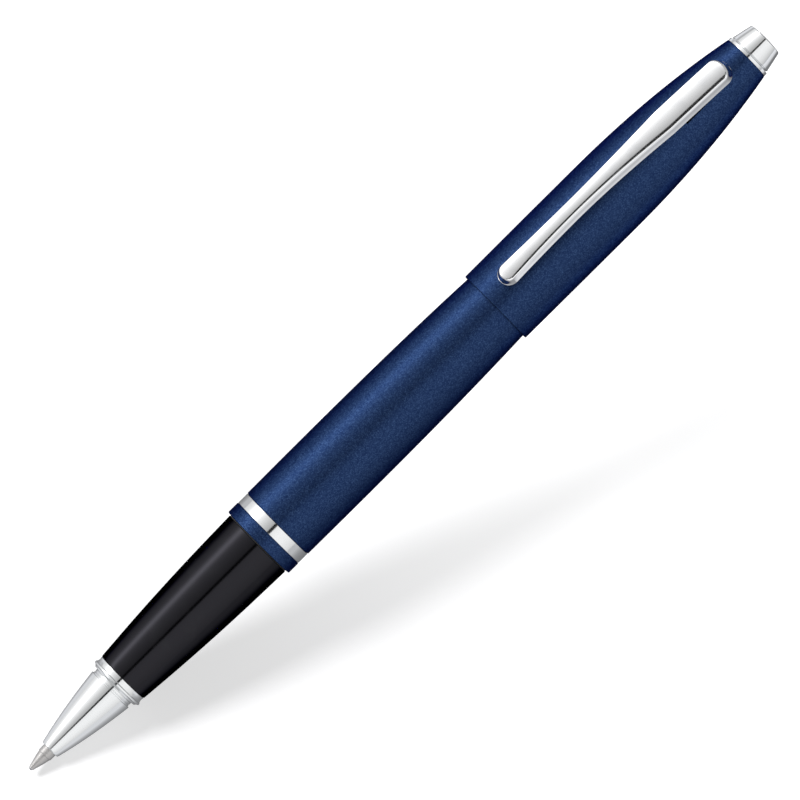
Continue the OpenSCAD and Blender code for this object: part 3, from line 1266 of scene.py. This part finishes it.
@dataclass
class Studio:
    """Camera, light tent, floor, surround and lamp."""

    tilt_deg: float = 14.5
    roll_deg: float = 44.8
    distance: float = 1.24
    lens: float = 386.0
    aim_mm: Point = (75.6, 0.2)
    middle_mm: float = 75.0
    tent_radius: float = 1.0
    tent_half: float = 1.3
    tent_span_deg: float = 106.0
    tent_glow: Sequence[Point] = (  # degrees from the camera's direction, strength
        (-106, 0.55), (-82, 0.68), (-66, 0.84), (-45, 0.98), (-25, 1.02), (-12, 0.97), (-4.6, 0.94),
        (-4, 0.0), (4, 0.0), (4.6, 0.48), (12, 0.54), (24, 0.7), (34, 0.86), (43, 1.05), (50, 1.35),
        (56, 2.2), (61, 3.1), (66, 3.1), (71, 2.2), (78, 1.25), (88, 0.95), (106, 0.75),
    )
    floor_mm: float = -1.5
    floor_drop_deg: float = 22.8
    bend_mm: Point = (-6.0, 14.0)
    sun_deg: float = 44.0
    sun_width_deg: float = 20.0
    sun_strength: float = 3.1

    @property
    def toward(self) -> Vector:
        """Direction from the pen to the camera."""
        tilt = math.radians(self.tilt_deg)
        return Vector((0.0, -math.sin(tilt), math.cos(tilt)))

    @property
    def across(self) -> Vector:
        """Direction across the pen, at right angles to the camera's."""
        tilt = math.radians(self.tilt_deg)
        return Vector((0.0, math.cos(tilt), math.sin(tilt)))

    def build(self) -> None:
        """Sets up everything that isn't the pen."""
        self.camera()
        self.tent()
        self.floor()
        self.surround()
        self.sun()

    def camera(self) -> None:
        """Long-lens camera, rolled so that the pen runs up to the right."""
        roll = math.radians(self.roll_deg)
        pen = Vector(AXIS)
        right = pen * math.cos(roll) - self.across * math.sin(roll)
        up = pen * math.sin(roll) + self.across * math.cos(roll)
        aim = pen * (self.aim_mm[0] * MM) + self.across * (self.aim_mm[1] * MM)
        data = bpy.data.cameras.new("camera")
        data.lens = self.lens
        data.sensor_width = 36.0
        data.clip_start, data.clip_end = 0.05, 20.0
        cam = bpy.data.objects.new("camera", data)
        bpy.context.scene.collection.objects.link(cam)
        turn = Matrix((right, up, self.toward)).transposed().to_4x4()
        cam.matrix_world = Matrix.Translation(aim + self.toward * self.distance) @ turn
        bpy.context.scene.camera = cam

    def tent(self) -> None:
        """Curved soft panel round the pen, with a narrow dark gap for the lens and one brighter strip."""
        span = math.radians(self.tent_span_deg)
        start = self.toward * math.cos(span) - self.across * math.sin(span)
        bench = Bench("light_tent")
        reach = self.tent_radius / MM
        ends = [self.middle_mm + side * self.tent_half / MM for side in (-1, 1)]
        bench.draw([(x, start.y * reach, start.z * reach) for x in ends], closed=False)
        bpy.ops.mesh.spin(steps=100, angle=2 * span, center=(0.0, 0.0, 0.0), axis=AXIS)
        tent = bench.finish()
        tent.visible_camera = tent.visible_diffuse = tent.visible_shadow = False
        tent.data.materials.append(self.tent_light())

    def tent_light(self) -> Material:
        """Light whose strength changes round the tent.

        Returns:
            The new material.
        """
        t = Tree("tent_light")
        _, y, z = t.axes()
        tilt = math.radians(self.tilt_deg)
        side = y * math.cos(tilt) + z * math.sin(tilt)
        front = z * math.cos(tilt) - y * math.sin(tilt)
        turned = side.math("ARCTAN2", front) * (180.0 / math.pi)
        share = (turned + self.tent_span_deg) / (2 * self.tent_span_deg)
        full = max(strength for _, strength in self.tent_glow) + 0.1
        stops = [
            ((angle + self.tent_span_deg) / (2 * self.tent_span_deg), strength / full)
            for angle, strength in self.tent_glow
        ]
        ramp = t.node("ShaderNodeValToRGB", {"stops": stops}, {0: share})
        return t.output(t.node("ShaderNodeEmission", inputs={0: ramp.outputs[0], 1: full}).outputs[0])

    def floor(self) -> None:
        """Pale floor that falls away gently under the cap's end of the pen."""
        drop = math.tan(math.radians(self.floor_drop_deg))
        start, end = self.bend_mm
        bend, steps = end - start, 20
        line = [(-FAR_MM, 0.0, self.floor_mm), (start, 0.0, self.floor_mm)]
        for i in range(1, steps + 1):
            share = i / steps
            line.append((start + bend * share, 0.0, self.floor_mm - drop * bend * share**2 / 2))
        line.append((FAR_MM, 0.0, line[-1][2] - drop * (FAR_MM - end)))
        bench = Bench("floor")
        bench.draw(line, closed=False)
        half = FAR_MM * MM
        bpy.ops.mesh.extrude_region_move(TRANSFORM_OT_translate={"value": (0.0, half, 0.0)})
        bench.select_all()
        bpy.ops.transform.translate(value=(0.0, -half / 2, 0.0))
        bpy.ops.transform.resize(value=(1.0, 2.0, 1.0), center_override=(0.0, 0.0, 0.0))
        floor = bench.finish()
        floor.data.materials.append(self.pale_floor())

    @staticmethod
    def pale_floor() -> Material:
        """Matt floor with some light of its own, which rises towards the cap's end as painted light that
        fades the pen's shadow; in the pen's reflections it shows a painted reflection, dimmer than to the
        camera.

        Returns:
            The new material.
        """
        t = Tree("pale_floor")
        x, y, z = t.axes()
        aside = y.math("ABSOLUTE") / (z * -1.0)
        # Painted reflection: in reflections the floor shows painted shade, darkest straight beneath the pen
        # and darker still under the grip, and a painted bright strip beside the cap.
        spread = aside.between(0.0, 4.0)
        painted_shade_under_grip = x.between(0.012, 0.022)
        painted_bright_strip = aside.between(0.7, 1.3) * (1.0 - aside.between(2.4, 3.4)) * x.between(0.09, 0.1)
        matt = t.node("ShaderNodeBsdfDiffuse", inputs={0: (0.5, 0.5, 0.51, 1.0)})
        # Painted light: the floor's glow rises towards the cap's end, which fades the pen's cast shadow
        # there.
        lift_and_painted_fade = t.glow(WHITE, x.between(0.02, 0.1) * 0.2 + 0.63)
        pale = t.node("ShaderNodeAddShader", inputs={0: matt.outputs[0], 1: lift_and_painted_fade})
        # Painted reflection: the glow seen only in reflections, carrying the painted shade and the painted
        # bright strip.
        dim = t.glow((0.96, 0.97, 1.0), spread * (0.58 - painted_shade_under_grip * 0.22) + painted_bright_strip * 0.5 + 0.2)
        return t.output(t.by_ray("Is Glossy Ray", pale.outputs[0], dim))

    def sun(self) -> None:
        """Broad lamp that throws the pen's shadow on the floor."""
        lean = math.radians(self.sun_deg)
        data = bpy.data.lights.new("shadow_lamp", "SUN")
        data.energy, data.angle = self.sun_strength, math.radians(self.sun_width_deg)
        lamp = bpy.data.objects.new("shadow_lamp", data)
        bpy.context.scene.collection.objects.link(lamp)
        source = self.toward * math.cos(lean) + self.across * math.sin(lean)
        lamp.rotation_euler = source.to_track_quat("Z", "Y").to_euler()
        lamp.visible_glossy = False

    def surround(self) -> None:
        """White surround behind the floor, dimmer in the light it gives."""
        t = Tree("surround", world=True)
        in_gloss = Num(t, t.node("ShaderNodeLightPath").outputs["Is Glossy Ray"])
        dim = t.glow((0.98, 0.99, 1.0), in_gloss * 0.27 + 0.2, "Background")
        seen = t.by_ray("Is Camera Ray", dim, t.glow(WHITE, 1.0, "Background"))
        scene = bpy.context.scene
        scene.world = t.output(seen, "World")
        scene.view_settings.view_transform = "Standard"
        scene.view_settings.look = "None"


def main() -> None:
    """Builds the pen and its studio."""
    logging.basicConfig(level=logging.INFO, format="%(name)s: %(message)s")
    for part in (Refill(), Section(), Barrel(), Cap(), Clip(), Studio()):
        part.build()
        LOG.info("%s done", type(part).__name__)
    bpy.ops.object.select_all(action="DESELECT")


if __name__ == "__main__":
    main()
